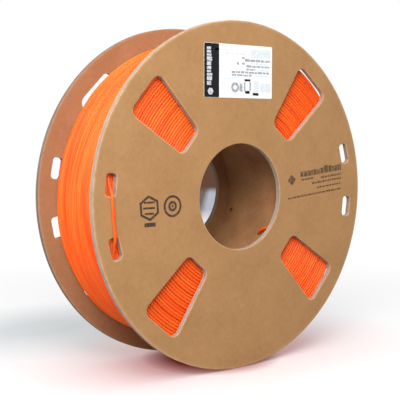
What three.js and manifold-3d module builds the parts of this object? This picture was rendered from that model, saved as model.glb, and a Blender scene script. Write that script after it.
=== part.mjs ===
// Cardboard filament spool: two die-cut board flanges glued to a spiral-wound paper core, holding about
// 1 kg of 1.75 mm filament whose outer end is threaded through two slots in the front flange.
// Millimetres, +Z up. The spool's axis is Y, the front flange faces -Y, and the origin is on the axis at
// mid width. Every place on the flanges is given by a radius and an angle from +X towards +Z.

import * as THREE from 'three';
import { mergeVertices } from 'three/addons/utils/BufferGeometryUtils.js';
import Module from 'manifold-3d';

// ---- Driving dimensions ----

const FLANGE_R = 100;
const SPOOL_HALF_WIDTH = 30;
const FLANGE_THICK = 3;
const LINER_THICK = 0.25;
const GLUE_LINE = 1 / 32;
const BORE_R = 30.5;

const WINDOW_INNER = 47.7;
const WINDOW_OUTER = 89.3;
const WINDOW_INNER_HALF = 8.8;
const WINDOW_OUTER_HALF = 14.2;
const WINDOW_CORNER_R = 4.5;
const WINDOW_ANGLES = [45, 135, 225, 315];

const SLOT_RADIUS = 89.2;
const SLOT_LENGTH = 12.2;
const SLOT_WIDTH = 6.4;
const SLOT_CORNER_R = 2;
const SLOT_ANGLES = [-10.8, 10.8, 169.2, 190.8];

const FRONT_TURN = 4.3;
const REAR_TURN = 0;

const CORE_INNER_R = 38;
const CORE_WALL = 2.5;
const CORE_PLIES = 5;
const CORE_GLUE_THICK = 0.25;
const ANCHOR_HOLE_R = 2;
const ANCHOR_HOLES = [
  { angle: -40, y: -14 },
  { angle: -21.5, y: 21 },
];

const STRAND_R = 0.875;
const STRAND_GAP = 0.15;
const WINDING_INNER_R = 40.75;
const WINDING_OUTER_R = 89;
const WINDING_SIDE_GAP = 0.25;
const SLOT_REACH = 4;
const END_ON_PACK_R = WINDING_OUTER_R + STRAND_R + STRAND_GAP;
const END_ON_FACE_R = 88.6;

const LABEL_WIDTH = 51;
const LABEL_HEIGHT = 30;
const LABEL_THICK = 0.125;
const LABEL_CENTRE = { x: -2.1, z: 71.2 };

// ---- Fineness of the round stretches ----

const RIM_SIDES = 60;
const BORE_SIDES = 48;
const CORE_SIDES = 48;
const CORNER_STEPS = 3;
const HOLE_SIDES = 12;
const STRAND_SIDES = 8;

const rad = THREE.MathUtils.degToRad;
const wasm = await Module();
wasm.setup();

// ---- Materials ----

function material(color, roughness) {
  return new THREE.MeshStandardMaterial({ color, roughness, metalness: 0 });
}

const kraftPaper = () => material(0xbe9267, 0.85);
const greyBoard = () => material(0xb5998a, 0.95);
const corePaper = () => material(0x8a6444, 0.9);
const glue = () => material(0xe6dcc0, 0.35);
const filament = () => material(0xfe702e, 0.35);
const labelPaper = () => material(0xf2f2f0, 0.45);

// ---- Small helpers ----

// The point at a radius and an angle from +X, in the plane of a flange.
function polar(radius, degrees) {
  return new THREE.Vector2(radius * Math.cos(rad(degrees)), radius * Math.sin(rad(degrees)));
}

function turned(outline, degrees) {
  return outline.map((p) => p.clone().rotateAround(new THREE.Vector2(), rad(degrees)));
}

// A regular outline whose lowest side is level, so that a rim stands on a side and not on a corner.
function ringOutline(radius, sides) {
  const start = -90 + 180 / sides;
  return Array.from({ length: sides }, (_, i) => polar(radius, start + (360 * i) / sides));
}

// A polygon with each corner replaced by an arc.
function roundedOutline(corners, radius, steps) {
  return corners.flatMap((corner, i) => {
    const before = corners[(i + corners.length - 1) % corners.length];
    const after = corners[(i + 1) % corners.length];
    const toBefore = before.clone().sub(corner).normalize();
    const toAfter = after.clone().sub(corner).normalize();
    const halfAngle = Math.acos(toBefore.dot(toAfter)) / 2;
    const middle = toBefore.clone().add(toAfter).normalize();
    const centre = corner.clone().addScaledVector(middle, radius / Math.sin(halfAngle));
    const tangent = radius / Math.tan(halfAngle);
    const start = corner.clone().addScaledVector(toBefore, tangent).sub(centre);
    const end = corner.clone().addScaledVector(toAfter, tangent).sub(centre);
    const sweep = Math.atan2(start.cross(end), start.dot(end));
    return Array.from({ length: steps + 1 }, (_, k) =>
      start.clone().rotateAround(new THREE.Vector2(), (sweep * k) / steps).add(centre));
  });
}

// A viewing window: a trapezoid that widens towards the rim, on the radius at the given angle.
function windowOutline(degrees) {
  const corners = [
    new THREE.Vector2(WINDOW_INNER, -WINDOW_INNER_HALF),
    new THREE.Vector2(WINDOW_OUTER, -WINDOW_OUTER_HALF),
    new THREE.Vector2(WINDOW_OUTER, WINDOW_OUTER_HALF),
    new THREE.Vector2(WINDOW_INNER, WINDOW_INNER_HALF),
  ];
  return turned(roundedOutline(corners, WINDOW_CORNER_R, CORNER_STEPS), degrees);
}

// A slot for the filament's end: a rounded rectangle, its length along the rim.
function slotOutline(degrees) {
  const near = SLOT_RADIUS - SLOT_WIDTH / 2;
  const far = SLOT_RADIUS + SLOT_WIDTH / 2;
  const half = SLOT_LENGTH / 2;
  const corners = [
    new THREE.Vector2(near, -half),
    new THREE.Vector2(far, -half),
    new THREE.Vector2(far, half),
    new THREE.Vector2(near, half),
  ];
  return turned(roundedOutline(corners, SLOT_CORNER_R, CORNER_STEPS), degrees);
}

// A flat plate on a plane across the axis, from y = low to y = low + thick.
function plate(outline, holes, low, thick) {
  const shape = new THREE.Shape(outline);
  shape.holes = holes.map((points) => new THREE.Path(points));
  const geometry = new THREE.ExtrudeGeometry(shape, { depth: thick, bevelEnabled: false });
  geometry.rotateX(Math.PI / 2);
  geometry.translate(0, low + thick, 0);
  return geometry;
}

// A ring round the spool's axis, turned from a closed section of [radius, y] points.
function turnedRing(section, sides) {
  const profile = section.map(([radius, y]) => new THREE.Vector2(radius, y));
  const geometry = new THREE.LatheGeometry([...profile, profile[0].clone()], sides);
  geometry.rotateY(Math.PI / sides);
  return geometry;
}

function tubeSection(inner, outer, halfLength) {
  return [
    [inner, -halfLength],
    [outer, -halfLength],
    [outer, halfLength],
    [inner, halfLength],
  ];
}

// A round strand along a smooth curve through points given as [angle, radius, y].
function strand(points, steps) {
  const route = points.map(([degrees, radius, y]) => {
    const p = polar(radius, degrees);
    return new THREE.Vector3(p.x, y, p.y);
  });
  const section = new THREE.Shape(
    Array.from({ length: STRAND_SIDES }, (_, i) => polar(STRAND_R, (360 * i) / STRAND_SIDES)));
  const extrudePath = new THREE.CatmullRomCurve3(route, false, 'centripetal');
  return new THREE.ExtrudeGeometry(section, { steps, extrudePath, bevelEnabled: false });
}

function toSolid(geometry) {
  const bare = geometry.clone();
  bare.deleteAttribute('normal');
  bare.deleteAttribute('uv');
  const merged = mergeVertices(bare, 1e-4);
  const vertProperties = new Float32Array(merged.attributes.position.array);
  const triVerts = new Uint32Array(merged.index.array);
  return new wasm.Manifold(new wasm.Mesh({ numProp: 3, vertProperties, triVerts }));
}

function toGeometry(solid) {
  const { vertProperties, triVerts } = solid.getMesh();
  const geometry = new THREE.BufferGeometry();
  geometry.setAttribute('position', new THREE.BufferAttribute(vertProperties, 3));
  geometry.setIndex(new THREE.BufferAttribute(triVerts, 1));
  return geometry;
}

function mesh(name, geometry, look) {
  const piece = new THREE.Mesh(geometry, look);
  piece.name = name;
  return piece;
}

// ---- Flanges: grey board between two kraft liners, all die-cut together ----

function flange(side, outward, turn) {
  const rim = ringOutline(FLANGE_R, RIM_SIDES);
  const cuts = [
    ringOutline(BORE_R, BORE_SIDES),
    ...WINDOW_ANGLES.map((angle) => windowOutline(angle + turn)),
    ...SLOT_ANGLES.map((angle) => slotOutline(angle + turn)),
  ];
  const boardThick = FLANGE_THICK - 2 * (LINER_THICK + GLUE_LINE);
  const plies = [
    ['outer_liner', SPOOL_HALF_WIDTH - LINER_THICK, LINER_THICK, kraftPaper()],
    ['board', SPOOL_HALF_WIDTH - LINER_THICK - GLUE_LINE - boardThick, boardThick, greyBoard()],
    ['inner_liner', SPOOL_HALF_WIDTH - FLANGE_THICK, LINER_THICK, kraftPaper()],
  ];
  return plies.map(([ply, near, thick, look]) => {
    const low = outward > 0 ? near : -near - thick;
    return mesh(`${side}_flange_${ply}`, plate(rim, cuts, low, thick), look);
  });
}

// ---- Core: paper plies wound into a tube, ply 1 innermost, pierced by two anchor holes ----

function anchorHole({ angle, y }) {
  const drill = new THREE.CylinderGeometry(ANCHOR_HOLE_R, ANCHOR_HOLE_R, 3 * CORE_WALL, HOLE_SIDES);
  drill.rotateZ(Math.PI / 2);
  drill.translate(CORE_INNER_R + CORE_WALL / 2, y, 0);
  drill.rotateY(-rad(angle));
  return toSolid(drill);
}

function corePlies() {
  const halfLength = SPOOL_HALF_WIDTH - FLANGE_THICK - CORE_GLUE_THICK;
  const plyPitch = (CORE_WALL + GLUE_LINE) / CORE_PLIES;
  const drills = ANCHOR_HOLES.map(anchorHole);
  return Array.from({ length: CORE_PLIES }, (_, i) => {
    const inner = CORE_INNER_R + i * plyPitch;
    const section = tubeSection(inner, inner + plyPitch - GLUE_LINE, halfLength);
    const wall = toSolid(turnedRing(section, CORE_SIDES));
    const pierced = drills.reduce((solid, drill) => solid.subtract(drill), wall);
    return mesh(`core_ply_${i + 1}`, toGeometry(pierced), corePaper());
  });
}

function glueRing(name, low) {
  const outline = ringOutline(CORE_INNER_R + CORE_WALL, CORE_SIDES);
  const hole = ringOutline(CORE_INNER_R, CORE_SIDES);
  return mesh(name, plate(outline, [hole], low, CORE_GLUE_THICK), glue());
}

// ---- Filament: the wound pack, its outer end in the slots, and its start in the core ----

function winding() {
  const halfWidth = SPOOL_HALF_WIDTH - FLANGE_THICK - WINDING_SIDE_GAP;
  const section = [
    [WINDING_INNER_R, -halfWidth],
    [WINDING_OUTER_R - STRAND_R, -halfWidth],
    [WINDING_OUTER_R, -halfWidth + STRAND_R],
    [WINDING_OUTER_R, halfWidth - STRAND_R],
    [WINDING_OUTER_R - STRAND_R, halfWidth],
    [WINDING_INNER_R, halfWidth],
  ];
  return mesh('filament_winding', turnedRing(section, RIM_SIDES), filament());
}

// The outer end leaves the pack, comes out of the upper slot, crosses the face and goes in at the lower
// slot. SLOT_REACH is the angle on each side of a slot's middle within which the strand passes through.
function outerEnd() {
  const faceY = -SPOOL_HALF_WIDTH - STRAND_R - STRAND_GAP;
  const [low, high] = SLOT_ANGLES.slice(2).map((angle) => angle + FRONT_TURN);
  const boardY = -SPOOL_HALF_WIDTH + FLANGE_THICK / 2;
  const packY = -SPOOL_HALF_WIDTH + FLANGE_THICK + STRAND_R + STRAND_GAP;
  const boardR = (END_ON_PACK_R + END_ON_FACE_R) / 2;
  const route = [
    [low - 24, END_ON_PACK_R, packY + 5],
    [low - 15, END_ON_PACK_R, packY + 3.5],
    [low - 8, END_ON_PACK_R, packY + 1.3],
    [low - SLOT_REACH, END_ON_PACK_R, packY],
    [low, boardR, boardY],
    [low + SLOT_REACH, END_ON_FACE_R, faceY],
    [low + 6.5, END_ON_FACE_R - 0.3, faceY],
    [high - 6.5, END_ON_FACE_R - 0.3, faceY],
    [high - SLOT_REACH, END_ON_FACE_R, faceY],
    [high, boardR, boardY],
    [high + SLOT_REACH, END_ON_PACK_R, packY],
    [high + 8, END_ON_PACK_R, packY + 1.3],
    [high + 12, END_ON_PACK_R, packY + 2.2],
  ];
  return mesh('filament_outer_end', strand(route, 48), filament());
}

// The start comes through an anchor hole and lies bent towards the front flange inside the core.
function startEnd() {
  const [hole] = ANCHOR_HOLES;
  const route = [
    [hole.angle, 40.4, hole.y],
    [hole.angle, 38.2, hole.y],
    [hole.angle + 0.8, 36.6, hole.y - 1.2],
    [hole.angle + 3, 35.8, hole.y - 4.2],
    [hole.angle + 6, 35.6, hole.y - 8.5],
  ];
  return mesh('filament_start', strand(route, 16), filament());
}

// ---- Label: a paper sticker on the front flange ----

function label() {
  const halfW = LABEL_WIDTH / 2;
  const halfH = LABEL_HEIGHT / 2;
  const { x, z } = LABEL_CENTRE;
  const outline = [
    new THREE.Vector2(x - halfW, z - halfH),
    new THREE.Vector2(x + halfW, z - halfH),
    new THREE.Vector2(x + halfW, z + halfH),
    new THREE.Vector2(x - halfW, z + halfH),
  ];
  return mesh('label', plate(outline, [], -SPOOL_HALF_WIDTH - LABEL_THICK, LABEL_THICK), labelPaper());
}

// ---- The spool ----

const spool = new THREE.Group();
const glueY = SPOOL_HALF_WIDTH - FLANGE_THICK;
spool.add(
  ...flange('front', -1, FRONT_TURN),
  ...flange('rear', 1, REAR_TURN),
  ...corePlies(),
  glueRing('front_glue_ring', -glueY),
  glueRing('rear_glue_ring', glueY - CORE_GLUE_THICK),
  winding(),
  outerEnd(),
  startEnd(),
  label(),
);

export default spool;
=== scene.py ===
"""Looks of the cardboard filament spool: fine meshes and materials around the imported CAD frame.

Metres, +Z up, the spool's axis along Y, the front flange facing -Y, the origin on the axis at mid width.
Flat work on the flanges is laid out in (x, z), and depth runs from a flange's outer face inwards.
"""

import math
import random
from collections import Counter

import bmesh
import bpy
import numpy as np
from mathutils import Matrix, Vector, noise
from mathutils.geometry import delaunay_2d_cdt


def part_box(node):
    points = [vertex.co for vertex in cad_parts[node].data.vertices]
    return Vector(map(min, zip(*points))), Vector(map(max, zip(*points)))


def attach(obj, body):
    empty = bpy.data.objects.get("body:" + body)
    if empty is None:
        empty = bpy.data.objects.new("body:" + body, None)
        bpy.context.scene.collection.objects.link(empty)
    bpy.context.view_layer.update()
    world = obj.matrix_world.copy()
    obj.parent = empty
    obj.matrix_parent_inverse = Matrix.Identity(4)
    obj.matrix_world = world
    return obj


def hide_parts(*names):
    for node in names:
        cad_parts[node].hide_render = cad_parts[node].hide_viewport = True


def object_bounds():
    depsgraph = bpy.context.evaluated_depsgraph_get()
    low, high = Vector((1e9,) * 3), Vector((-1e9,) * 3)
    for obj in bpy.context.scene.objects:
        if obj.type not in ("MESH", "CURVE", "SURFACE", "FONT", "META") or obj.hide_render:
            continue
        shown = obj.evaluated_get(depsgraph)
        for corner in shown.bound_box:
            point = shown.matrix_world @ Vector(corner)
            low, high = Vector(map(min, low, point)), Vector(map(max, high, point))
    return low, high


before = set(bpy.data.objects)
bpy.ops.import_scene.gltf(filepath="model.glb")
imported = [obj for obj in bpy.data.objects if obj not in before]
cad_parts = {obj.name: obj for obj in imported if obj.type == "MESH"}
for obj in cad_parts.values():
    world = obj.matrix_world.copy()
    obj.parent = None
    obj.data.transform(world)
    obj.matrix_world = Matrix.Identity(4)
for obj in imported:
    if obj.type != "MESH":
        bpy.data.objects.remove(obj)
cad_low, cad_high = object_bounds()

MM = 0.001
BODY = "root"
PLY_THICK = 0.5 * MM
SHARP_EDGE = math.radians(38)

# ---- Places that come from the frame ----

FACE = -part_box("front_flange_outer_liner")[0].y
FLANGE_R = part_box("front_flange_board")[1].x
FLANGE_INNER_FACE = -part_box("front_flange_inner_liner")[1].y
CORE_INNER_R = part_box("core_ply_1")[1].z - PLY_THICK
CORE_OUTER_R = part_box("core_ply_5")[1].z
CORE_HALF_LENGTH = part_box("core_ply_1")[1].y
PACK_OUTER_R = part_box("filament_winding")[1].z
PACK_HALF_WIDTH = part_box("filament_winding")[1].y
LABEL_LOW, LABEL_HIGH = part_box("label")
FLOOR_Z = cad_low.z

# ---- Driving dimensions ----

FLANGE_THICK = FACE - FLANGE_INNER_FACE
LINER_THICK = 0.25 * MM
GLUE_LINE = 0.03 * MM
BORE_R = 30.5 * MM
FRONT_TURN = math.radians(4.3)
REAR_TURN = 0.0

WINDOW_INNER = 47.7 * MM
WINDOW_OUTER = 89.3 * MM
WINDOW_INNER_HALF = 8.8 * MM
WINDOW_OUTER_HALF = 14.2 * MM
WINDOW_CORNER_R = 4.5 * MM
WINDOW_ANGLES = [math.radians(a) for a in (45, 135, 225, 315)]

SLOT_RADIUS = 89.2 * MM
SLOT_LENGTH = 12.2 * MM
SLOT_WIDTH = 6.4 * MM
SLOT_CORNER_R = 2 * MM
SLOT_ANGLES = [math.radians(a) for a in (-10.8, 10.8, 169.2, 190.8)]

CORE_PLIES = 5
ANCHOR_HOLE_R = 2 * MM
ANCHOR_HOLES = [(math.radians(-40), -14 * MM), (math.radians(-21.5), 21 * MM)]

STRAND_R = 0.875 * MM
STRAND_GAP = 0.15 * MM
PACK_GAP = 0.1 * MM
END_ON_FACE_R = 88.6 * MM
OUTER_TURNS = 30
SIDE_LAYERS = 27

# ---- Mesh helpers ----


def finish_mesh(name, vertices, faces, material, wear_and_highlight=None):
    """A closed mesh object with outward faces, smooth but for its sharp edges."""
    mesh = bpy.data.meshes.new(name)
    mesh.from_pydata(np.asarray(vertices, float).tolist(), [], faces)
    if wear_and_highlight is not None:
        layer = mesh.attributes.new("wear_and_highlight", "FLOAT", "POINT")
        layer.data.foreach_set("value", np.asarray(wear_and_highlight, np.float32))
    shell = bmesh.new()
    shell.from_mesh(mesh)
    bmesh.ops.recalc_face_normals(shell, faces=shell.faces)
    if shell.calc_volume(signed=True) < 0:
        bmesh.ops.reverse_faces(shell, faces=shell.faces)
    shell.to_mesh(mesh)
    shell.free()
    mesh.shade_smooth()
    mesh.set_sharp_from_angle(angle=SHARP_EDGE)
    mesh.materials.append(material)
    piece = bpy.data.objects.new(name, mesh)
    bpy.context.scene.collection.objects.link(piece)
    return piece


def settle(piece, slot, *nodes):
    """Fixes a piece to the spool and hides the CAD nodes that it stands for. The slot argument is not used.
    """
    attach(piece, BODY)
    if nodes:
        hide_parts(*nodes)


def turned(points, angle):
    """Points in a plane, turned about its origin."""
    c, s = math.cos(angle), math.sin(angle)
    return np.asarray(points, float) @ np.array([[c, s], [-s, c]])


def ripple(x, y, z=0.0, scale=1.0):
    """Smooth noise from -1 to 1 with features of about one over the scale."""
    return noise.noise(Vector((x * scale, y * scale, z * scale)))


# ---- Outlines: points with the unit normals that point into the material ----

SAME_POINT = 1e-7
LEAST_CORNER_R = 0.01 * MM


def circle_outline(radius, count, into):
    """A circle about the origin, with the material inside it for into -1 and outside it for 1."""
    angles = np.arange(count) * (2 * math.pi / count)
    spokes = np.column_stack([np.cos(angles), np.sin(angles)])
    return radius * spokes, into * spokes


def rounded_outline(corners, radius, arc_steps, spacing):
    """A polygon with rounded corners, its straight stretches divided at about the given spacing."""
    points, normals = [], []
    corners = [np.asarray(c, float) for c in corners]
    for i, corner in enumerate(corners):
        back = corners[i - 1] - corner
        ahead = corners[(i + 1) % len(corners)] - corner
        back /= np.linalg.norm(back)
        ahead /= np.linalg.norm(ahead)
        half = math.acos(np.clip(back @ ahead, -1, 1)) / 2
        middle = (back + ahead) / np.linalg.norm(back + ahead)
        centre = corner + middle * radius / math.sin(half)
        sweep = (math.pi - 2 * half) * np.sign(back[1] * ahead[0] - back[0] * ahead[1])
        for k in range(arc_steps + 1):
            spoke = turned([-middle], sweep * (k / arc_steps - 0.5))[0]
            points.append(centre + radius * spoke)
            normals.append(spoke)
    full_points, full_normals = [], []
    for i, point in enumerate(points):
        after = points[(i + 1) % len(points)]
        length = np.linalg.norm(after - point)
        if length < SAME_POINT:
            continue
        steps = max(1, round(length / spacing))
        for k in range(steps):
            share = k / steps
            full_points.append(point + (after - point) * share)
            full_normals.append(normals[i] + (normals[(i + 1) % len(points)] - normals[i]) * share)
    full_normals = np.array(full_normals)
    full_normals /= np.linalg.norm(full_normals, axis=1)[:, None]
    return np.array(full_points), full_normals


def window_outline(angle):
    corners = [
        (WINDOW_INNER, -WINDOW_INNER_HALF),
        (WINDOW_OUTER, -WINDOW_OUTER_HALF),
        (WINDOW_OUTER, WINDOW_OUTER_HALF),
        (WINDOW_INNER, WINDOW_INNER_HALF),
    ]
    points, normals = rounded_outline(corners, WINDOW_CORNER_R, 10, 1.2 * MM)
    return turned(points, angle), turned(normals, angle)


def slot_outline(angle):
    near, far = SLOT_RADIUS - SLOT_WIDTH / 2, SLOT_RADIUS + SLOT_WIDTH / 2
    half = SLOT_LENGTH / 2
    corners = [(near, -half), (far, -half), (far, half), (near, half)]
    points, normals = rounded_outline(corners, SLOT_CORNER_R, 8, 0.9 * MM)
    return turned(points, angle), turned(normals, angle)


def box_outline(low, high, radius=0.0, spacing=1.0):
    """A rectangle from its low to its high corner, with rounded corners where a radius is given."""
    corners = [(low[0], low[1]), (high[0], low[1]), (high[0], high[1]), (low[0], high[1])]
    return rounded_outline(corners, max(radius, LEAST_CORNER_R), 5, spacing)


# ---- Filling flat outlines ----

# The lighter strip along the flange edges: part rubbed wear, part painted highlight.
RIM_WEAR_AND_HIGHLIGHT = 1.5 * MM
CUT_OUT_WEAR_AND_HIGHLIGHT = 0.7 * MM


def inside(points, polygon):
    """Which of the points lie inside a polygon."""
    x, y = points[:, 0][:, None], points[:, 1][:, None]
    x1, y1 = polygon[:, 0][None], polygon[:, 1][None]
    x2, y2 = np.roll(x1, -1, axis=1), np.roll(y1, -1, axis=1)
    crosses = (y1 > y) != (y2 > y)
    with np.errstate(divide="ignore", invalid="ignore"):
        at = x1 + (y - y1) * (x2 - x1) / (y2 - y1)
    return (np.sum(crosses & (x < at), axis=1) % 2).astype(bool)


def triangle_sides(triangle):
    """A triangle's three sides, each as an unordered pair of points."""
    a, b, c = triangle
    return frozenset((a, b)), frozenset((b, c)), frozenset((c, a))


def fill_outlines(loops, extra):
    """Triangles that fill the first loop but for the others. Indices run through the loops, then extra.

    Slivers left outside a straight run of points are dropped: one of their sides is neither shared nor rim.
    """
    points = np.vstack([*loops, extra])
    edges, start = [], 0
    for loop in loops:
        count = len(loop)
        edges += [(start + i, start + (i + 1) % count) for i in range(count)]
        start += count
    result = delaunay_2d_cdt([Vector(p) for p in points.tolist()], edges, [], 0, 1e-9)
    coords = np.array([tuple(v) for v in result[0]])
    origin = [source[0] for source in result[3]]
    triangles = np.array(result[2])
    centres = coords[triangles].mean(axis=1)
    keep = inside(centres, loops[0])
    for hole in loops[1:]:
        keep &= ~inside(centres, hole)
    filled = [tuple(origin[i] for i in triangle) for triangle in triangles[keep]]
    rim = {frozenset(edge) for edge in edges}
    while True:
        uses = Counter(side for triangle in filled for side in triangle_sides(triangle))
        kept = [t for t in filled if all(uses[side] == 2 or side in rim for side in triangle_sides(t))]
        if len(kept) == len(filled):
            return kept
        filled = kept


def hex_grid(loops, spacing, margin):
    """Grid points inside the first loop and outside the others, clear of them all by the margin."""
    low, high = loops[0].min(axis=0), loops[0].max(axis=0)
    rows = np.arange(low[1], high[1], spacing * math.sqrt(0.75))
    grid = []
    for i, y in enumerate(rows):
        xs = np.arange(low[0] + (i % 2) * spacing / 2, high[0], spacing)
        grid.append(np.column_stack([xs, np.full(len(xs), y)]))
    grid = np.vstack(grid)
    keep = inside(grid, loops[0])
    for hole in loops[1:]:
        keep &= ~inside(grid, hole)
    grid = grid[keep]
    edge = np.vstack(loops)
    nearest = np.array([np.min(np.sum((edge - p) ** 2, axis=1)) for p in grid])
    return grid[nearest > margin**2]


def wear_and_highlight_reach(count):
    """How far the lighter edge strip, part rubbed wear and part painted highlight, reaches in from each
    outline: further at the rim than at the cut-outs.
    """
    return [RIM_WEAR_AND_HIGHLIGHT] + [CUT_OUT_WEAR_AND_HIGHLIGHT] * (count - 1)


def plate_parts(outlines, rows, place, spacing=None, fuzz_at=None):
    """Vertices, faces and edge strip of a plate, the strip being part wear and part painted highlight. A
    row is (inset, depth, fuzz), from the outer cap to the inner.

    place(points, depth, inset) puts flat points at a depth in the plate into space.
    """
    sizes = [len(points) for points, _ in outlines]
    cap_inset = rows[0][0]
    caps = [points + normals * cap_inset for points, normals in outlines]
    extra = hex_grid(caps, spacing, spacing / 2) if spacing else np.empty((0, 2))
    triangles = fill_outlines(caps, extra)
    row_size = sum(sizes)
    vertices, wear_and_highlight = [], []
    for inset, depth, fuzz in rows:
        for (points, normals), reach in zip(outlines, wear_and_highlight_reach(len(outlines))):
            flat = points + normals * inset
            if fuzz:
                shift = np.array([fuzz_at(p[0], p[1], depth) for p in points]) * fuzz
                flat = flat + normals * shift[:, None]
            vertices.append(place(flat, depth, inset))
            wear_and_highlight.append(np.full(len(flat), max(0.0, 1 - inset / reach)))
    faces = []
    for r in range(len(rows) - 1):
        start = r * row_size
        for count in sizes:
            for i in range(count):
                j = (i + 1) % count
                faces.append((start + i, start + j, start + row_size + j, start + row_size + i))
            start += count
    far = (len(rows) - 1) * row_size
    grid_near = len(rows) * row_size
    grid_far = grid_near + len(extra)
    for depth in (rows[0][1], rows[-1][1]):
        if len(extra):
            vertices.append(place(extra, depth, 1.0))
            wear_and_highlight.append(np.zeros(len(extra)))

    def moved(triangle, base, grid):
        return tuple(base + i if i < row_size else grid + i - row_size for i in triangle)

    faces += [moved(t, 0, grid_near) for t in triangles]
    faces += [moved(t, far, grid_far)[::-1] for t in triangles]
    return np.vstack(vertices), faces, np.concatenate(wear_and_highlight)


# ---- Tubes ----


def smooth_route(points, per_span):
    """A centripetal Catmull-Rom curve through the points."""
    points = np.asarray(points, float)
    ends = [2 * points[0] - points[1], *points, 2 * points[-1] - points[-2]]
    route = []
    for p0, p1, p2, p3 in zip(ends, ends[1:], ends[2:], ends[3:]):
        t0 = 0.0
        t1 = t0 + np.linalg.norm(p1 - p0) ** 0.5
        t2 = t1 + np.linalg.norm(p2 - p1) ** 0.5
        t3 = t2 + np.linalg.norm(p3 - p2) ** 0.5
        for t in np.linspace(t1, t2, per_span, endpoint=False):
            a1 = (t1 - t) / (t1 - t0) * p0 + (t - t0) / (t1 - t0) * p1
            a2 = (t2 - t) / (t2 - t1) * p1 + (t - t1) / (t2 - t1) * p2
            a3 = (t3 - t) / (t3 - t2) * p2 + (t - t2) / (t3 - t2) * p3
            b1 = (t2 - t) / (t2 - t0) * a1 + (t - t0) / (t2 - t0) * a2
            b2 = (t3 - t) / (t3 - t1) * a2 + (t - t1) / (t3 - t1) * a3
            route.append((t2 - t) / (t2 - t1) * b1 + (t - t1) / (t2 - t1) * b2)
    route.append(points[-1])
    return np.array(route)


def tube_parts(route, radius, sides):
    """Vertices and faces of a round strand along a route, its cut ends slightly rounded."""
    route = np.asarray(route, float)
    tangents = np.gradient(route, axis=0)
    tangents /= np.linalg.norm(tangents, axis=1)[:, None]
    side = np.cross(tangents[0], (0.3, 0.5, 0.8))
    normals = np.empty_like(route)
    for i, tangent in enumerate(tangents):
        side = side - tangent * (side @ tangent)
        side /= np.linalg.norm(side)
        normals[i] = side
    across = np.cross(tangents, normals)
    bevel = radius * 0.15
    first, last = route[0] - tangents[0] * bevel, route[-1] + tangents[-1] * bevel
    route = np.vstack([first, route, last])
    normals = np.vstack([normals[:1], normals, normals[-1:]])
    across = np.vstack([across[:1], across, across[-1:]])
    radii = np.full(len(route), radius)
    radii[0] = radii[-1] = radius - bevel
    angles = np.arange(sides) * (2 * math.pi / sides)
    spokes = (
        np.cos(angles)[None, :, None] * normals[:, None, :]
        + np.sin(angles)[None, :, None] * across[:, None, :]
    )
    vertices = (route[:, None, :] + spokes * radii[:, None, None]).reshape(-1, 3)
    faces = [
        (i * sides + k, i * sides + (k + 1) % sides, (i + 1) * sides + (k + 1) % sides, (i + 1) * sides + k)
        for i in range(len(route) - 1)
        for k in range(sides)
    ]
    faces.append(tuple(range(sides))[::-1])
    faces.append(tuple(range(len(vertices) - sides, len(vertices))))
    return vertices, faces


def ring_faces(steps, count):
    """The quads of a closed section of count points, carried round the axis back to its start."""
    return [
        (
            i * count + k,
            i * count + (k + 1) % count,
            (i + 1) % steps * count + (k + 1) % count,
            (i + 1) % steps * count + k,
        )
        for i in range(steps)
        for k in range(count)
    ]


def round_axis(angle, radius, y):
    """Points at angles and radii round the spool's axis."""
    return np.column_stack([radius * np.cos(angle), y + 0 * angle, radius * np.sin(angle)])


def joined(parts):
    """Several (vertices, faces) as one."""
    vertices, faces, start = [], [], 0
    for points, polygons in parts:
        vertices.append(points)
        faces += [tuple(start + i for i in polygon) for polygon in polygons]
        start += len(points)
    return np.vstack(vertices), faces


# ---- Shader helpers ----


def shader(tree, kind, inputs=None, **settings):
    """A shader node with its inputs set to values or linked from sockets."""
    made = tree.nodes.new(kind)
    for key, value in settings.items():
        setattr(made, key, value)
    for key, value in (inputs or {}).items():
        if isinstance(value, bpy.types.NodeSocket):
            tree.links.new(value, made.inputs[key])
        else:
            made.inputs[key].default_value = value
    return made


def start_material(name, **surface):
    """A material with one Principled shader: its tree, the shader, and positions in metres."""
    material = bpy.data.materials.new(name)
    material.use_nodes = True
    tree = material.node_tree
    principled = tree.nodes["Principled BSDF"]
    for key, value in surface.items():
        principled.inputs[key.replace("_", " ")].default_value = value
    position = shader(tree, "ShaderNodeTexCoord").outputs["Object"]
    return material, tree, principled, position


def stretched(tree, position, scale, turn=(0.0, 0.0, 0.0)):
    """Positions scaled along each axis and turned, for noise that runs one way."""
    inputs = {"Vector": position, "Scale": scale, "Rotation": turn}
    return shader(tree, "ShaderNodeMapping", inputs).outputs["Vector"]


def grain(tree, vector, scale, detail, roughness=0.5, curl=0.0):
    """Noise from 0 to 1, with about as many cells to the metre as the scale says."""
    inputs = {
        "Vector": vector, "Scale": scale, "Detail": detail, "Roughness": roughness, "Distortion": curl,
    }
    return shader(tree, "ShaderNodeTexNoise", inputs).outputs["Fac"]


def ranged(tree, value, low, high, to_low=0.0, to_high=1.0):
    """A value's range from low to high stretched to another range, and clamped to that."""
    inputs = {"Value": value, "From Min": low, "From Max": high, "To Min": to_low, "To Max": to_high}
    return shader(tree, "ShaderNodeMapRange", inputs).outputs["Result"]


def computed(tree, operation, first, second=0.0):
    made = shader(tree, "ShaderNodeMath", {0: first, 1: second}, operation=operation)
    return made.outputs["Value"]


def weighted(tree, *parts):
    """The sum of (value, weight) pairs."""
    total = None
    for value, weight in parts:
        share = computed(tree, "MULTIPLY", value, weight)
        total = share if total is None else computed(tree, "ADD", total, share)
    return total


def blended(tree, factor, first, second):
    """The first colour where the factor is 0, the second where it is 1."""
    return shader(tree, "ShaderNodeMix", {0: factor, 6: first, 7: second}, data_type="RGBA").outputs[2]


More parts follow.
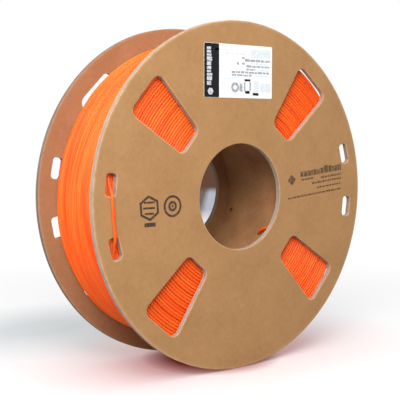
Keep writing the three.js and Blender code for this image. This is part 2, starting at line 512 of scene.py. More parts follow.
def bumped(tree, principled, height, distance, strength):
    """Small bumps in the surface, as deep as the distance at full strength."""
    inputs = {"Height": height, "Distance": distance, "Strength": strength}
    bump = shader(tree, "ShaderNodeBump", inputs)
    tree.links.new(bump.outputs["Normal"], principled.inputs["Normal"])


def colour(red, green, blue):
    """An sRGB colour of 0 to 255 as linear RGBA."""
    linear = [((c / 255 + 0.055) / 1.055) ** 2.4 if c > 10 else c / 255 / 12.92 for c in (red, green, blue)]
    return (*linear, 1.0)


# ---- Materials ----


def kraft_material(name, light, dark, rubbed_and_highlight_tone, fibre_turn):
    """Unbleached liner paper: cloudy pulp, curled fibres, faint light and dark flecks, and lighter cut
    edges, part rubbed wear and part painted highlight.
    """
    material, tree, principled, position = start_material(name, Specular_IOR_Level=0.2)
    clouds = grain(tree, position, 55, 4, 0.6)
    pulp = grain(tree, position, 420, 3, 0.6, 0.6)
    along = stretched(tree, position, (1700, 1700, 420), (0, fibre_turn, 0))
    fibres = grain(tree, along, 1, 3, 0.6, 1.8)
    tone = weighted(tree, (clouds, 0.4), (pulp, 0.3), (fibres, 0.3))
    paper = blended(tree, ranged(tree, tone, 0.36, 0.64), dark, light)
    flecks = grain(tree, stretched(tree, position, (2200, 2200, 700), (0, fibre_turn + 0.6, 0)), 1, 1)
    dark_fleck = tuple(0.72 * c for c in dark[:3]) + (1.0,)
    paper = blended(tree, ranged(tree, flecks, 0.7, 0.8, 0, 0.5), paper, dark_fleck)
    pale_flecks = grain(tree, stretched(tree, position, (700, 2000, 2000), (0, fibre_turn - 0.8, 0)), 1, 1)
    pale = tuple(min(1.0, 1.2 * c) for c in light[:3]) + (1.0,)
    paper = blended(tree, ranged(tree, pale_flecks, 0.68, 0.78, 0, 0.5), paper, pale)
    # Cut edges lightened: part rubbed wear, part painted highlight of the crushed edge.
    wear_and_highlight = shader(tree, "ShaderNodeAttribute", attribute_name="wear_and_highlight").outputs["Fac"]
    patches = ranged(tree, grain(tree, position, 260, 2), 0.3, 0.7, 0.3, 0.9)
    rubbed_and_highlight = computed(tree, "MULTIPLY", wear_and_highlight, patches)
    paper = blended(tree, rubbed_and_highlight, paper, rubbed_and_highlight_tone)
    tree.links.new(paper, principled.inputs["Base Color"])
    tree.links.new(ranged(tree, fibres, 0.3, 0.7, 0.75, 0.92), principled.inputs["Roughness"])
    bumped(tree, principled, computed(tree, "ADD", fibres, pulp), 0.05 * MM, 0.5)
    return material


def board_material(name, light, dark, patch):
    """Recycled grey board at a die-cut edge: thin felted layers parallel to the faces."""
    material, tree, principled, position = start_material(name, Specular_IOR_Level=0.2)
    layers = grain(tree, stretched(tree, position, (120, 3200, 120)), 1, 3, 0.6)
    fluff = grain(tree, position, 1600, 3, 0.65)
    tone = weighted(tree, (layers, 0.6), (fluff, 0.4))
    board = blended(tree, ranged(tree, tone, 0.35, 0.65), dark, light)
    patches = grain(tree, position, 90, 2)
    board = blended(tree, ranged(tree, patches, 0.4, 0.7, 0, 0.35), board, patch)
    tree.links.new(board, principled.inputs["Base Color"])
    tree.links.new(ranged(tree, fluff, 0.3, 0.7, 0.85, 0.98), principled.inputs["Roughness"])
    bumped(tree, principled, tone, 0.15 * MM, 0.7)
    return material


def core_material():
    """Brown core paper, wound on a slant, with long faint fibres and dark specks."""
    material, tree, principled, position = start_material("core_paper", Specular_IOR_Level=0.25)
    clouds = grain(tree, position, 70, 3)
    fibres = grain(tree, stretched(tree, position, (500, 1700, 500)), 1, 3, 0.6)
    tone = weighted(tree, (clouds, 0.5), (fibres, 0.5))
    paper = blended(tree, ranged(tree, tone, 0.35, 0.68), colour(142, 99, 63), colour(177, 128, 86))
    specks = grain(tree, position, 1000, 1)
    paper = blended(tree, ranged(tree, specks, 0.7, 0.78, 0, 0.6), paper, colour(92, 62, 42))
    tree.links.new(paper, principled.inputs["Base Color"])
    tree.links.new(ranged(tree, fibres, 0.3, 0.7, 0.7, 0.9), principled.inputs["Roughness"])
    bumped(tree, principled, fibres, 0.05 * MM, 0.6)
    return material


def filament_material():
    """Orange printing filament: satin, with bands of lighter and deeper turns and faint draw lines."""
    material, tree, principled, position = start_material(
        "orange_filament", Specular_IOR_Level=0.25,
        Subsurface_Weight=0.2, Subsurface_Radius=(1.0, 0.25, 0.1), Subsurface_Scale=1.2 * MM,
    )
    x, y, z = shader(tree, "ShaderNodeSeparateXYZ", {0: position}).outputs
    radius = computed(tree, "SQRT", weighted(tree, (x, x), (z, z)))
    round_way = computed(tree, "MULTIPLY", computed(tree, "DIVIDE", z, radius), 1.6)

    def along_strand(scale):
        across = computed(tree, "MULTIPLY", radius, scale)
        sideways = computed(tree, "MULTIPLY", y, scale)
        return shader(tree, "ShaderNodeCombineXYZ", {0: across, 1: sideways, 2: round_way}).outputs[0]

    turn_tone = grain(tree, along_strand(560), 1, 2)
    band_tone = grain(tree, along_strand(190), 1, 2)
    tone = weighted(tree, (turn_tone, 0.5), (band_tone, 0.5))
    body = blended(tree, ranged(tree, tone, 0.38, 0.62), (0.95, 0.088, 0.007, 1), (1.0, 0.172, 0.018, 1))
    tree.links.new(body, principled.inputs["Base Color"])
    smudge = grain(tree, position, 160, 3)
    tree.links.new(ranged(tree, smudge, 0.3, 0.7, 0.36, 0.5), principled.inputs["Roughness"])
    bumped(tree, principled, grain(tree, along_strand(9000), 1, 1), 0.01 * MM, 0.5)
    return material


def glue_material():
    """Hot-melt glue, cream and waxy."""
    material, tree, principled, position = start_material(
        "hot_melt", Specular_IOR_Level=0.5, Subsurface_Weight=0.2, Subsurface_Scale=0.8 * MM
    )
    waves = grain(tree, position, 300, 2)
    body = blended(tree, waves, colour(150, 118, 78), colour(186, 154, 108))
    tree.links.new(body, principled.inputs["Base Color"])
    tree.links.new(ranged(tree, waves, 0.3, 0.7, 0.28, 0.45), principled.inputs["Roughness"])
    bumped(tree, principled, waves, 0.1 * MM, 0.5)
    return material


def label_material():
    """Coated white label paper with a faint tooth."""
    material, tree, principled, position = start_material("label_paper", Specular_IOR_Level=0.4)
    tooth = grain(tree, position, 2600, 3, 0.6)
    clouds = grain(tree, position, 60, 2)
    paper = blended(tree, ranged(tree, clouds, 0.3, 0.7), (0.84, 0.84, 0.845, 1), (0.9, 0.9, 0.9, 1))
    tree.links.new(paper, principled.inputs["Base Color"])
    tree.links.new(ranged(tree, tooth, 0.3, 0.7, 0.38, 0.55), principled.inputs["Roughness"])
    bumped(tree, principled, tooth, 0.01 * MM, 0.5)
    return material


def ink_material(name, full, thin, coverage):
    """Printing ink that lies unevenly, so that the thin tone shows in patches and pinholes."""
    material, tree, principled, position = start_material(name, Specular_IOR_Level=0.3)
    patches = grain(tree, position, 700, 4, 0.7)
    tone = blended(tree, ranged(tree, patches, coverage, coverage + 0.15), full, thin)
    tree.links.new(tone, principled.inputs["Base Color"])
    tree.links.new(ranged(tree, patches, 0.3, 0.7, 0.45, 0.8), principled.inputs["Roughness"])
    bumped(tree, principled, patches, 0.01 * MM, 0.4)
    return material


# The rear kraft and rear grey board are the front papers with darker colours: painted shade on the rear
# flange.
front_kraft = kraft_material(
    "front_kraft", colour(180, 137, 92), colour(164, 122, 79), colour(204, 170, 134), 0.1
)
rear_kraft_painted_darker = kraft_material(
    "rear_kraft_painted_darker", colour(165, 124, 88), colour(149, 108, 74), colour(178, 138, 104), 1.2
)
front_board = board_material(
    "front_grey_board", colour(186, 174, 164), colour(124, 112, 104), colour(176, 140, 112)
)
rear_board_painted_darker = board_material(
    "rear_grey_board_painted_darker", colour(140, 130, 120), colour(94, 85, 78), colour(132, 104, 84)
)
core_paper = core_material()
orange = filament_material()
hot_melt = glue_material()
label_paper = label_material()
kraft_ink = ink_material("kraft_ink", colour(66, 48, 40), colour(120, 90, 62), 0.5)
thin_ink = ink_material("thin_ink", colour(92, 68, 48), colour(140, 106, 72), 0.47)
black_ink = ink_material("black_ink", colour(19, 19, 21), colour(30, 30, 32), 0.5)
grey_ink = ink_material("grey_ink", colour(150, 157, 163), colour(190, 196, 200), 0.47)
pale_ink = ink_material("pale_ink", colour(214, 221, 226), colour(234, 238, 240), 0.48)
white_ink = ink_material("white_ink", colour(206, 208, 212), colour(120, 124, 130), 0.5)

# ---- Flanges ----

CRUSH_REACH = 0.7 * MM
OUTER_CRUSH = 0.18 * MM
INNER_CRUSH = 0.10 * MM
EDGE_INSETS = [2.4 * MM, 1.3 * MM, 0.8 * MM, 0.5 * MM, 0.28 * MM, 0.12 * MM, 0.03 * MM]
FLANGE_SPACING = 6 * MM
LINER_STEPS, LINER_FUZZ = 3, 0.05 * MM
BOARD_STEPS, BOARD_FUZZ = 12, 0.14 * MM


def flange_outlines(turn):
    """A flange's rim, bore, four windows and four slots, turned about the axis."""
    return [
        circle_outline(FLANGE_R, 360, -1),
        circle_outline(BORE_R, 200, 1),
        *[window_outline(angle + turn) for angle in WINDOW_ANGLES],
        *[slot_outline(angle + turn) for angle in SLOT_ANGLES],
    ]


def flange_place(side):
    """Puts flat points at a depth in a flange, whose die-cut edges are crushed from both faces."""
    def place(points, depth, inset):
        near_edge = max(0.0, 1 - inset / CRUSH_REACH) ** 2
        share = depth / FLANGE_THICK
        crushed = depth + near_edge * (OUTER_CRUSH * (1 - share) - INNER_CRUSH * share)
        y = np.full(len(points), side * (FACE - crushed))
        return np.column_stack([points[:, 0], y, points[:, 1]])
    return place


def edge_fuzz(x, z, depth):
    """How far the torn fibres of a cut edge stand back, from 0 to 1, differing from layer to layer."""
    fine = ripple(x, z, depth * 3, 2200)
    broad = ripple(x, z, depth * 6, 420)
    return 0.5 + 0.35 * fine + 0.35 * broad


def flange(side_name, side, turn, kraft, board):
    """The front (side -1) or rear (side 1) flange: die-cut plies with crushed, slightly torn edges."""
    board_near = LINER_THICK + GLUE_LINE
    board_far = FLANGE_THICK - board_near
    inner_near = FLANGE_THICK - LINER_THICK
    plies = [
        ("outer_liner", 0, LINER_THICK, LINER_STEPS, LINER_FUZZ, kraft, "kraft_liner"),
        ("board", board_near, board_far, BOARD_STEPS, BOARD_FUZZ, board, "grey_board"),
        ("inner_liner", inner_near, FLANGE_THICK, LINER_STEPS, LINER_FUZZ, kraft, "kraft_liner"),
    ]
    for ply, near, far, steps, fuzz, material, slot in plies:
        down = [(inset, near, 0) for inset in EDGE_INSETS]
        wall = [(0.0, near + (far - near) * (k / steps), fuzz) for k in range(1, steps)]
        up = [(inset, far, 0) for inset in reversed(EDGE_INSETS)]
        vertices, faces, wear_and_highlight = plate_parts(
            flange_outlines(turn), [*down, *wall, *up], flange_place(side), FLANGE_SPACING, edge_fuzz
        )
        piece = finish_mesh(f"{side_name}_{ply}", vertices, faces, material, wear_and_highlight)
        settle(piece, slot, f"{side_name}_flange_{ply}")


# ---- Core ----

SEAM_GAP = 0.35 * MM
SEAM_SLOPE = 1.9
FIRST_SEAM_DEGREES = 120
SEAM_STEP_DEGREES = 67
STRIP_CORNER_R = 0.3 * MM
STRIP_SPACING = 1.2 * MM


def core_ply(index):
    """One paper strip of the core, wound round once on a slant so that its edges meet at a butt seam."""
    pitch = (CORE_OUTER_R - CORE_INNER_R) / CORE_PLIES
    inner = CORE_INNER_R + index * pitch
    seam_start = math.radians(FIRST_SEAM_DEGREES + SEAM_STEP_DEGREES * index)
    round_way = 2 * math.pi * inner
    half = CORE_HALF_LENGTH

    def sheared(along, y):
        return (seam_start * inner + along + SEAM_SLOPE * y, y)

    corners = [
        sheared(SEAM_GAP / 2, -half),
        sheared(round_way - SEAM_GAP / 2, -half),
        sheared(round_way - SEAM_GAP / 2, half),
        sheared(SEAM_GAP / 2, half),
    ]
    sheet, sheet_normals = rounded_outline(corners, STRIP_CORNER_R, 4, STRIP_SPACING)
    outlines = [(sheet, -sheet_normals)]
    for angle, y in ANCHOR_HOLES:
        along = angle * inner
        while not inside(np.array([(along, y)]), sheet)[0]:
            along += round_way
            if along > 4 * round_way:
                break
        spokes, normals = circle_outline(ANCHOR_HOLE_R, 24, 1)
        outlines.append((spokes + (along, y), normals))

    def place(points, depth, inset):
        angle = points[:, 0] / inner
        radius = inner + depth
        return np.column_stack([radius * np.cos(angle), points[:, 1], radius * np.sin(angle)])

    thick = pitch - GLUE_LINE
    bevel, edge = 0.12 * MM, 0.06 * MM
    rows = [(bevel, 0, 0), (0.0, edge, 0), (0.0, thick - edge, 0), (bevel, thick, 0)]
    vertices, faces, _ = plate_parts(outlines, rows, place, 3 * MM)
    piece = finish_mesh(f"core_strip_{index + 1}", vertices, faces, core_paper)
    settle(piece, "core_paper", f"core_ply_{index + 1}")


def glue_bead(name, side):
    """The hot-melt line at an end of the core, squeezed out unevenly inside the tube."""
    low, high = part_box(name)
    steps = 240
    bulge_points = 10
    mean_squeeze, least_squeeze = 0.12 * MM, 0.02 * MM
    half = (high.y - low.y) / 2
    middle = (high.y + low.y) / 2
    outer = CORE_OUTER_R + PACK_GAP
    vertices = []
    for i in range(steps):
        angle = 2 * math.pi * i / steps
        squeeze = mean_squeeze * (1 + ripple(math.cos(angle), math.sin(angle), side, 4))
        inner = CORE_INNER_R - max(squeeze, least_squeeze)
        for k in range(bulge_points):
            turn = math.pi * (k / (bulge_points - 1) - 0.5)
            radius = inner + half * (1 - math.cos(turn))
            y = middle + half * math.sin(turn)
            vertices.append((radius * math.cos(angle), y, radius * math.sin(angle)))
        for y in (middle + half, middle - half):
            vertices.append((outer * math.cos(angle), y, outer * math.sin(angle)))
    piece = finish_mesh(f"{name}_bead", vertices, ring_faces(steps, bulge_points + 2), hot_melt)
    settle(piece, "glue", name)


# ---- Filament ----

TURN_STEPS = 132
STRAND_SIDES = 10
LAST_STRAND_Y = PACK_HALF_WIDTH - STRAND_R
LAST_STRAND_R = PACK_OUTER_R - STRAND_R
TURN_PITCH = 2 * LAST_STRAND_Y / (OUTER_TURNS - 2)
FIRST_LAYER_R = CORE_OUTER_R + PACK_GAP + STRAND_R
LAYER_PITCH = (LAST_STRAND_R - FIRST_LAYER_R) / SIDE_LAYERS
OUTER_STRAND_R = 0.985 * STRAND_R
SIDE_STRAND_R = 0.97 * STRAND_R
OUTER_WANDER, OUTER_SINK = 0.3 * MM, 0.9 * MM
SIDE_WANDER, SIDE_SINK = 0.12 * MM, 0.7 * MM
SIDE_START = 0.7
CLIMB_SHARE = 0.1
END_SIDES = 20

MEAN_SWELL = 0.7
SWELLS = [(149, 34, -2.1), (227, 16, 0.8), (-41, 17, 1.2)]


def pack_swell(angle):
    """How far the rim stands above the CAD radius: slack at the upper left, proud at two places.

    A swell is (middle in degrees, reach in degrees, height in mm).
    """
    swell = MEAN_SWELL
    for middle, reach, height in SWELLS:
        off = math.remainder(angle - math.radians(middle), 2 * math.pi) / math.radians(reach)
        swell += height * math.exp(-off * off)
    return swell * MM


def swollen(angle, radius):
    """A radius in the pack moved out with the rim, in proportion to its height above the core."""
    return radius + pack_swell(angle) * (radius - CORE_OUTER_R) / (PACK_OUTER_R - CORE_OUTER_R)


def strand_noise(angles, turns, seed, speed):
    """Slow wander along a strand, from -1 to 1, that differs from one turn to the next."""
    return np.array([
        ripple(math.cos(angle), math.sin(angle), turn * speed + seed, 1.5)
        for angle, turn in zip(angles, turns)
    ])


def outer_layer():
    """The top layer: one strand in close turns, with a whole turn along each flange."""
    count = OUTER_TURNS * TURN_STEPS
    turns = np.linspace(0, OUTER_TURNS, count + 1)
    angles = 2 * math.pi * turns
    y = -LAST_STRAND_Y + TURN_PITCH * (turns - 1) + strand_noise(angles, turns, 0, 0.9) * OUTER_WANDER
    y = np.clip(y, -LAST_STRAND_Y, LAST_STRAND_Y)
    sink = np.abs(strand_noise(angles, turns, 40, 1.7)) * OUTER_SINK
    radius = np.array([swollen(a, LAST_STRAND_R) for a in angles]) - sink
    vertices, faces = tube_parts(round_axis(angles, radius, y), OUTER_STRAND_R, STRAND_SIDES)
    piece = finish_mesh("filament_outer_layer", vertices, faces, orange)
    settle(piece, "filament", "filament_winding")


def side_turns(name, side):
    """The end turns of every layer beside a flange, each a ring that climbs to the next near its end."""
    count = SIDE_LAYERS * TURN_STEPS
    turns = np.linspace(0, SIDE_LAYERS - 0.02, count + 1)
    angles = 2 * math.pi * turns * side + SIDE_START
    climb = np.clip((turns % 1 - (1 - CLIMB_SHARE)) / CLIMB_SHARE, 0, 1)
    layer = np.floor(turns) + climb * climb * (3 - 2 * climb)
    layer = np.minimum(layer, SIDE_LAYERS - 1)
    radius = FIRST_LAYER_R + LAYER_PITCH * layer + strand_noise(angles, turns, side * 9, 0.8) * SIDE_WANDER
    radius = np.array([swollen(a, r) for a, r in zip(angles, radius)])
    sink = np.abs(strand_noise(angles, turns, side * 17, 1.9)) * SIDE_SINK
    y = side * (LAST_STRAND_Y - sink)
    vertices, faces = tube_parts(round_axis(angles, radius, y), SIDE_STRAND_R, STRAND_SIDES)
    settle(finish_mesh(name, vertices, faces, orange), "filament")


def inner_turns():
    """The turns below the outer layer and the side turns: one ring, ribbed strand by strand."""
    rib_points = 4
    depth = 0.45 * MM
    below = STRAND_R + 0.3 * MM
    top = LAST_STRAND_R - below
    flank = LAST_STRAND_Y - below
    bottom = CORE_OUTER_R + 0.08 * MM
    profile = []

    def ribs(length):
        count = round(length / (2 * STRAND_R)) * rib_points
        for i in range(count + 1):
            share = i / count
            bow = abs(math.sin(math.pi * i / rib_points))
            yield share, depth * (1 - bow)

    for share, sink in ribs(2 * flank):
        profile.append((top - sink, -flank + 2 * flank * share))
    for share, sink in ribs(top - bottom):
        profile.append((top - (top - bottom) * share - 1e-6, flank - sink))
    for share, sink in ribs(top - bottom):
        profile.append((bottom + (top - bottom) * share, -flank + sink))
    profile = np.array(profile)
    steps = 160
    angles = 2 * math.pi * np.arange(steps) / steps
    vertices = np.vstack([
        round_axis(np.full(len(profile), a), swollen(a, profile[:, 0]), profile[:, 1]) for a in angles
    ])
    faces = ring_faces(steps, len(profile))
    settle(finish_mesh("filament_inner_turns", vertices, faces, orange), "filament")


def around(points):
    """A route given as (degrees, radius in mm, y in mm)."""
    return [
        (radius * MM * math.cos(math.radians(a)), y * MM, radius * MM * math.sin(math.radians(a)))
        for a, radius, y in points
    ]


def outer_end():
    """The free end: out at one left slot, along the face, in at the other, its tip behind the flange."""
    low, high = (math.degrees(angle + FRONT_TURN) for angle in SLOT_ANGLES[2:])
    on_face = END_ON_FACE_R / MM
    on_pack = (PACK_OUTER_R + STRAND_R + STRAND_GAP) / MM
    in_board = (on_face + on_pack) / 2
    face = -(FACE + STRAND_R) / MM - 0.1
    board = -(FACE - FLANGE_THICK / 2) / MM
    pack = -(FLANGE_INNER_FACE - STRAND_R - STRAND_GAP) / MM
    route = [
        (low - 24, on_pack - 1.7, pack + 5),
        (low - 15, on_pack - 1.0, pack + 3.5),
        (low - 8, on_pack - 0.2, pack + 1.3),
        (low - 4, on_pack, pack),
        (low, in_board, board),
        (low + 4, on_face, face),
        (low + 6.5, on_face - 0.3, face),
        (high - 6.5, on_face - 0.3, face),
        (high - 4, on_face, face),
        (high, in_board, board),
        (high + 4, on_pack, pack),
        (high + 8, on_pack, pack + 1.3),
        (high + 12, on_pack, pack + 2.2),
    ]
    vertices, faces = tube_parts(smooth_route(around(route), 12), STRAND_R, END_SIDES)
    piece = finish_mesh("filament_threaded_end", vertices, faces, orange)
    settle(piece, "filament", "filament_outer_end")


def start_end():
    """The start of the strand: through an anchor hole, then bent towards the front inside the core."""
    degrees, y = math.degrees(ANCHOR_HOLES[0][0]), ANCHOR_HOLES[0][1] / MM
    route = [
        (degrees, 40.4, y),
        (degrees, 38.2, y),
        (degrees + 0.8, 36.6, y - 1.2),
        (degrees + 3, 35.8, y - 4.2),
        (degrees + 6, 35.6, y - 8.5),
    ]
    vertices, faces = tube_parts(smooth_route(around(route), 10), STRAND_R, END_SIDES)
    piece = finish_mesh("filament_start_tail", vertices, faces, orange)
    settle(piece, "filament", "filament_start")


# ---- Label and prints ----

INK_THICK = 0.02 * MM
LEAST_BAR = 0.25
LABEL_FACE = -LABEL_LOW.y


def flat_place(front, turn=0.0):
    """Puts flat points, turned about the origin, at a depth behind a front plane."""
    def place(points, depth, inset):
        flat = turned(points, turn)
        return np.column_stack([flat[:, 0], np.full(len(flat), -front + depth), flat[:, 1]])
    return place


def ink_patch(outlines, place):
    """A thin patch of ink: the first outline filled but for the others."""
    rows = [(0.0, 0.0, 0), (0.0, INK_THICK * 0.8, 0)]
    vertices, faces, _ = plate_parts(outlines, rows, place)
    return vertices, faces


def bar(x, z, width, height, place, radius=0.2):
    """A bar of ink about a middle, in millimetres."""
    low = ((x - width / 2) * MM, (z - height / 2) * MM)
    high = ((x + width / 2) * MM, (z + height / 2) * MM)
    radius = min(radius, width * 0.4, height * 0.4) * MM
    return ink_patch([box_outline(low, high, radius)], place)


def disc(x, z, outer, inner, place):
    """A disc of ink about a middle, in millimetres, with a hole where an inner radius is given."""
    centre = np.array((x, z)) * MM
    rim, normals = circle_outline(outer * MM, 64, -1)
    parts = [(rim + centre, normals)]
    if inner:
        hole, hole_normals = circle_outline(inner * MM, 48, 1)
        parts.append((hole + centre, hole_normals))
    return ink_patch(parts, place)


def polygon_frame(x, z, radius, width, sides, start, place):
    """A regular polygon drawn as a line of the given width."""
    centre = np.array((x, z)) * MM
    angles = start + 2 * math.pi * np.arange(sides) / sides
    spokes = np.column_stack([np.cos(angles), np.sin(angles)])
    outer = rounded_outline(list(spokes * radius * MM + centre), 0.5 * MM, 4, MM)
    outline = [outer]
    if width:
        shrink = (radius - width / math.cos(math.pi / sides)) * MM
        outline.append(rounded_outline(list(spokes * shrink + centre), 0.3 * MM, 4, MM))
    return ink_patch(outline, place)


def word_bars(x, z, length, height, rng, place, low, high, gap):
    """A generic run of bars, from low to high in width, that stands for a line of print."""
    parts, at = [], x
    while at < x + length:
        width = min(rng.uniform(low, high), x + length - at)
        if width < LEAST_BAR:
            break
        rise = rng.uniform(0.75, 1.0) * height
        parts.append(bar(at + width / 2, z - (height - rise) / 2, width, rise, place, 0.12))
        at += width + gap
    return parts


def print_piece(name, parts, material):
    """Patches of one ink, joined as one piece."""
    vertices, faces = joined(parts)
    settle(finish_mesh(name, vertices, faces, material), "print_ink")


def label():
    """The paper label, its corners rounded and its edges bevelled."""
    low, high = (LABEL_LOW.x, LABEL_LOW.z), (LABEL_HIGH.x, LABEL_HIGH.z)
    outline, normals = box_outline(low, high, 0.8 * MM, 1.0 * MM)
    thick = LABEL_HIGH.y - LABEL_LOW.y
    edge, margin = 0.04 * MM, 0.3 * MM
    rows = [
        (margin, 0.0, 0),
        (edge, 0.0, 0),
        (0.0, edge, 0),
        (0.0, thick - edge, 0),
        (edge, thick, 0),
        (margin, thick, 0),
    ]
    vertices, faces, _ = plate_parts([(outline, -normals)], rows, flat_place(LABEL_FACE), 3 * MM)
    piece = finish_mesh("paper_label", vertices, faces, label_paper)
    settle(piece, "label_paper", "label")


def label_prints():
    """Generic bars and blocks on the label. A line is (from right, down from top, length, height) in mm."""
    rng = random.Random(4)
    place = flat_place(LABEL_FACE + INK_THICK)
    left, bottom = LABEL_LOW.x / MM, LABEL_LOW.z / MM
    right, top = LABEL_HIGH.x / MM, LABEL_HIGH.z / MM
    strip = 10.7
    height = top - bottom
    black = [bar(left + strip / 2 + 0.1, bottom + height / 2, strip, height - 0.3, place, 0.6)]
    print_piece("label_band", black, black_ink)
    over_band = flat_place(LABEL_FACE + 2 * INK_THICK)
    white, at = [], top - 2.2
    while at > bottom + 8:
        length = rng.uniform(1.1, 2.4)
        width = rng.uniform(2.8, 3.9)
        white.append(bar(left + 2.0 + width / 2, at - length / 2, width, length, over_band, 0.2))
        at -= length + 0.4
    white.append(polygon_frame(left + 4.6, bottom + 3.4, 2.1, 0, 6, 0, over_band))
    print_piece("label_band_marks", white, white_ink)
    grey_lines = [
        (23.5, 7.3, 2.8, 1.1), (21.0, 8.4, 19.5, 1.6), (27.2, 10.4, 1.6, 1.6), (23.2, 10.4, 2.2, 1.3),
        (20.0, 11.8, 18.5, 1.3), (20.0, 13.6, 7.0, 1.2), (31.0, 15.3, 29.0, 1.3), (31.0, 17.0, 15.0, 1.1),
    ]
    grey = []
    for from_right, down, length, tall in grey_lines:
        grey += word_bars(right - from_right, top - down, length, tall, rng, place, 1.6, 4.2, 0.5)
    grey.append(disc(-5.0, 62.2, 2.9, 1.4, place))
    grey.append(bar(-0.6, 62.2, 2.2, 4.6, place, 0.2))
    grey.append(bar(2.2, 62.8, 1.1, 5.0, place, 0.1))
    grey.append(bar(6.4, 62.8, 1.1, 5.0, place, 0.1))
    print_piece("label_lines", grey, grey_ink)
    pale_lines = [
        (43.0, 3.2, 9.0, 1.2), (36.0, 5.0, 19.0, 1.3), (16.5, 10.2, 15.0, 1.2), (12.0, 13.7, 10.5, 1.2),
        (14.0, 17.1, 12.5, 1.1), (38.0, 19.2, 9.0, 1.2),
    ]
    pale = []
    for from_right, down, length, tall in pale_lines:
        pale += word_bars(right - from_right, top - down, length, tall, rng, place, 1.8, 5.0, 0.5)
    pale.append(bar(right - 9.0, top - 4.4, 15.5, 4.8, place))
    pale.append(bar(right - 5.2, bottom + 6.2, 8.0, 5.0, place))
    pale.append(bar(right - 12.4, bottom + 6.8, 3.8, 6.4, place))
    print_piece("label_blocks", pale, pale_ink)
    dark = [
        bar(4.3, 66.4, 4.4, 1.2, place, 0.1),
        bar(4.3, 59.6, 3.4, 1.6, place, 0.1),
        bar(10.6, 58.6, 4.4, 1.5, place, 0.2),
    ]
    print_piece("label_pictograms", dark, black_ink)


def kraft_prints():
    """Generic pictograms and bars printed straight on the front flange."""
    place = flat_place(FACE + INK_THICK)
    marks = [
        polygon_frame(-64.7, -3.2, 7.0, 1.3, 6, math.pi / 2 + FRONT_TURN, place),
        bar(-64.7, -0.2, 7.0, 1.1, place),
        bar(-64.9, -3.2, 7.6, 1.1, place),
        bar(-64.7, -6.2, 6.0, 1.1, place),
        bar(-64.3, -12.1, 7.2, 2.2, place, 0.4),
        disc(-49.3, -2.9, 6.0, 4.7, place),
        disc(-49.3, -2.9, 2.9, 1.5, place),
        disc(-49.3, -2.9, 0.7, 0, place),
    ]
    print_piece("flange_pictograms", marks, kraft_ink)
    rng = random.Random(11)
    slant = math.radians(5.5)
    band = flat_place(FACE + INK_THICK, slant)
    words = [polygon_frame(41.0, 4.1, 3.4, 0, 4, math.pi / 2, band)]
    words += word_bars(48.5, 6.6, 17.0, 3.6, rng, band, 1.2, 3.6, 0.4)
    words += word_bars(66.0, 7.2, 19.0, 4.6, rng, band, 1.2, 3.6, 0.4)
    print_piece("flange_lines", words, thin_ink)
    fine = word_bars(49.0, 3.2, 10.0, 1.2, rng, band, 1.0, 3.0, 0.4)
    fine += word_bars(66.0, 2.6, 18.0, 1.3, rng, band, 1.0, 3.0, 0.4)
    fine += word_bars(58.0, 0.0, 26.0, 1.3, rng, band, 1.0, 3.0, 0.4)
    fine += word_bars(62.0, -3.2, 21.0, 1.1, rng, band, 1.0, 3.0, 0.6)
    fine += word_bars(37.0, -6.6, 46.0, 1.2, rng, band, 1.0, 4.0, 0.5)
    print_piece("flange_fine_lines", fine, thin_ink)


# ---- The spool ----

flange("front", -1, FRONT_TURN, front_kraft, front_board)
flange("rear", 1, REAR_TURN, rear_kraft_painted_darker, rear_board_painted_darker)
for ply_index in range(CORE_PLIES):
    core_ply(ply_index)
glue_bead("front_glue_ring", -1)
glue_bead("rear_glue_ring", 1)
outer_layer()
side_turns("filament_front_turns", -1)
side_turns("filament_rear_turns", 1)
inner_turns()
outer_end()
start_end()
label()
label_prints()
kraft_prints()

# ---- Stage, lights and camera ----

CAMERA_AZIMUTH = math.radians(-39.146)
CAMERA_ELEVATION = math.radians(4.137)
CAMERA_DISTANCE = 540 * MM
CAMERA_AIM = Vector((-3.84, 3.16, -3.878)) * MM
CAMERA_LENS = 80.9


def floor_spot(tree, position, centre, reach, turn, near, far):
    """From 0 inside an ellipse on the floor to 1 outside it."""
    local = shader(tree, "ShaderNodeMapping", {
        "Vector": position, "Location": (*centre, FLOOR_Z), "Rotation": (0, 0, turn), "Scale": (*reach, 1),
    }, vector_type="TEXTURE").outputs["Vector"]
    length = shader(tree, "ShaderNodeVectorMath", {0: local}, operation="LENGTH").outputs["Value"]
    return ranged(tree, length, near, far)


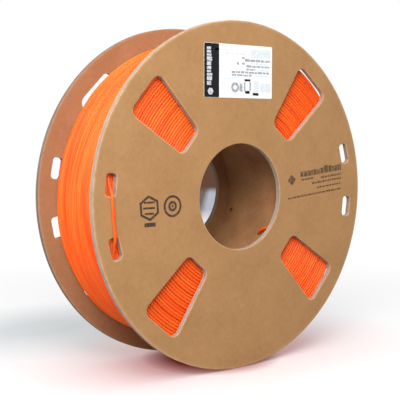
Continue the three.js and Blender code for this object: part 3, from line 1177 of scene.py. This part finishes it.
def floor():
    """A pale floor, white further out and softer as a light, with painted shade and light by the spool: a
    painted grey shadow behind it, a painted dark red contact shadow under it and a painted pink bounce glow
    round it.

    The dim patch far behind is drawn for the photo's camera, which sees it through the bore. From up to
    about 25 degrees to either side of that camera, it shows as a dark shape beside the spool.
    """
    half = 4.0
    corners = [(-half, -half), (half, -half), (half, half), (-half, half)]
    material, tree, principled, position = start_material("pale_floor", Specular_IOR_Level=0.3)
    seen = shader(tree, "ShaderNodeLightPath").outputs["Is Camera Ray"]
    tone = blended(tree, seen, (0.4, 0.4, 0.4, 1), (0.93, 0.93, 0.935, 1))
    # Painted shadow: a grey patch on the floor behind the spool, in both the floor colour and its glow.
    grey = floor_spot(tree, position, (-0.04, 0.135), (0.13, 0.085), 0, 0.2, 1.0)
    tone = blended(tree, grey, (0.62, 0.64, 0.66, 1), tone)
    # Painted contact shadow: dark red on the floor under the pack, between the flanges.
    painted_contact_shadow = floor_spot(tree, position, (0.002, 0), (0.043, 0.043), 0, 0.55, 1.0)
    tone = blended(tree, painted_contact_shadow, (0.34, 0.03, 0.015, 1), tone)
    tree.links.new(tone, principled.inputs["Base Color"])
    principled.inputs["Roughness"].default_value = 0.4
    # Painted bounce light: a pink glow round the spool, darkened where the painted shadows lie.
    bounce = floor_spot(tree, position, (0, 0), (0.17, 0.115), 0, 0.18, 1.0)
    bounce = blended(tree, bounce, (0.9, 0.45, 0.45, 1), (1, 1, 1, 1))
    bounce = blended(tree, grey, (0.74, 0.77, 0.78, 1), bounce)
    bounce = blended(tree, painted_contact_shadow, (0.16, 0.015, 0.008, 1), bounce)
    along = shader(tree, "ShaderNodeVectorMath", {0: position}, operation="LENGTH").outputs["Value"]
    # Painted dim shade far behind the spool, crossed by a lighter slanted band of painted light.
    behind = floor_spot(tree, position, (1.40, 1.75), (1.55, 0.20), math.radians(51.2), 0.8, 1.0)
    aside = shader(
        tree, "ShaderNodeVectorMath", {0: position, 1: (-0.765, 0.645, 0)}, operation="DOT_PRODUCT"
    ).outputs["Value"]
    slant = ranged(tree, aside, 0.021, 0.033)
    painted_far_shade = blended(tree, slant, (0.48, 0.49, 0.56, 1), (0.17, 0.14, 0.13, 1))
    painted_far_shade = blended(tree, ranged(tree, along, 1.4, 1.6), painted_far_shade, (0.13, 0.065, 0.042, 1))
    bounce = blended(tree, behind, painted_far_shade, bounce)
    glow = shader(tree, "ShaderNodeEmission", {"Color": bounce})
    tree.links.new(ranged(tree, seen, 0, 1, 0.4, 1.0), glow.inputs["Strength"])
    fade = shader(tree, "ShaderNodeMixShader", {
        0: ranged(tree, along, 0.2, 0.42, 0.4, 1.0), 1: principled.outputs[0], 2: glow.outputs[0],
    })
    tree.links.new(fade.outputs[0], tree.nodes["Material Output"].inputs["Surface"])
    mesh = bpy.data.meshes.new("floor")
    mesh.from_pydata([(x, y, FLOOR_Z - 0.1 * MM) for x, y in corners], [], [(0, 1, 2, 3)])
    mesh.materials.append(material)
    piece = bpy.data.objects.new("floor", mesh)
    bpy.context.scene.collection.objects.link(piece)


def area_light(name, place, aim, size, power):
    """A square soft light."""
    data = bpy.data.lights.new(name, "AREA")
    data.shape = "SQUARE"
    data.size = size
    data.energy = power
    light = bpy.data.objects.new(name, data)
    light.location = place
    light.rotation_mode = "QUATERNION"
    light.rotation_quaternion = (Vector(aim) - Vector(place)).to_track_quat("-Z", "Y")
    bpy.context.scene.collection.objects.link(light)


def surroundings(strength):
    """A white room: full white to the camera, softer as a light."""
    world = bpy.data.worlds.new("white_room")
    world.use_nodes = True
    tree = world.node_tree
    background = tree.nodes["Background"]
    background.inputs["Color"].default_value = (1, 1, 1, 1)
    seen = shader(tree, "ShaderNodeLightPath").outputs["Is Camera Ray"]
    tree.links.new(ranged(tree, seen, 0, 1, strength, 1.0), background.inputs["Strength"])
    bpy.context.scene.world = world


def camera():
    """The camera at the photo's angle."""
    data = bpy.data.cameras.new("camera")
    data.lens = CAMERA_LENS
    data.sensor_width = 36
    data.clip_start, data.clip_end = 0.01, 20
    made = bpy.data.objects.new("camera", data)
    level = math.cos(CAMERA_ELEVATION)
    made.location = CAMERA_DISTANCE * Vector((
        math.sin(CAMERA_AZIMUTH) * level, -math.cos(CAMERA_AZIMUTH) * level, math.sin(CAMERA_ELEVATION),
    ))
    made.rotation_mode = "QUATERNION"
    made.rotation_quaternion = (CAMERA_AIM - made.location).to_track_quat("-Z", "Y")
    bpy.context.scene.collection.objects.link(made)
    bpy.context.scene.camera = made


floor()
surroundings(0.42)
area_light("key", (-0.40, -0.45, 0.40), (0, 0, 0), 0.35, 4.7)
area_light("overhead", (-0.10, -0.25, 0.95), (0, 0, 0), 0.8, 6.5)
area_light("low_side", (-0.70, -0.06, 0.04), (-0.05, 0, 0), 0.4, 2.0)
camera()
bpy.context.scene.view_settings.view_transform = "Standard"
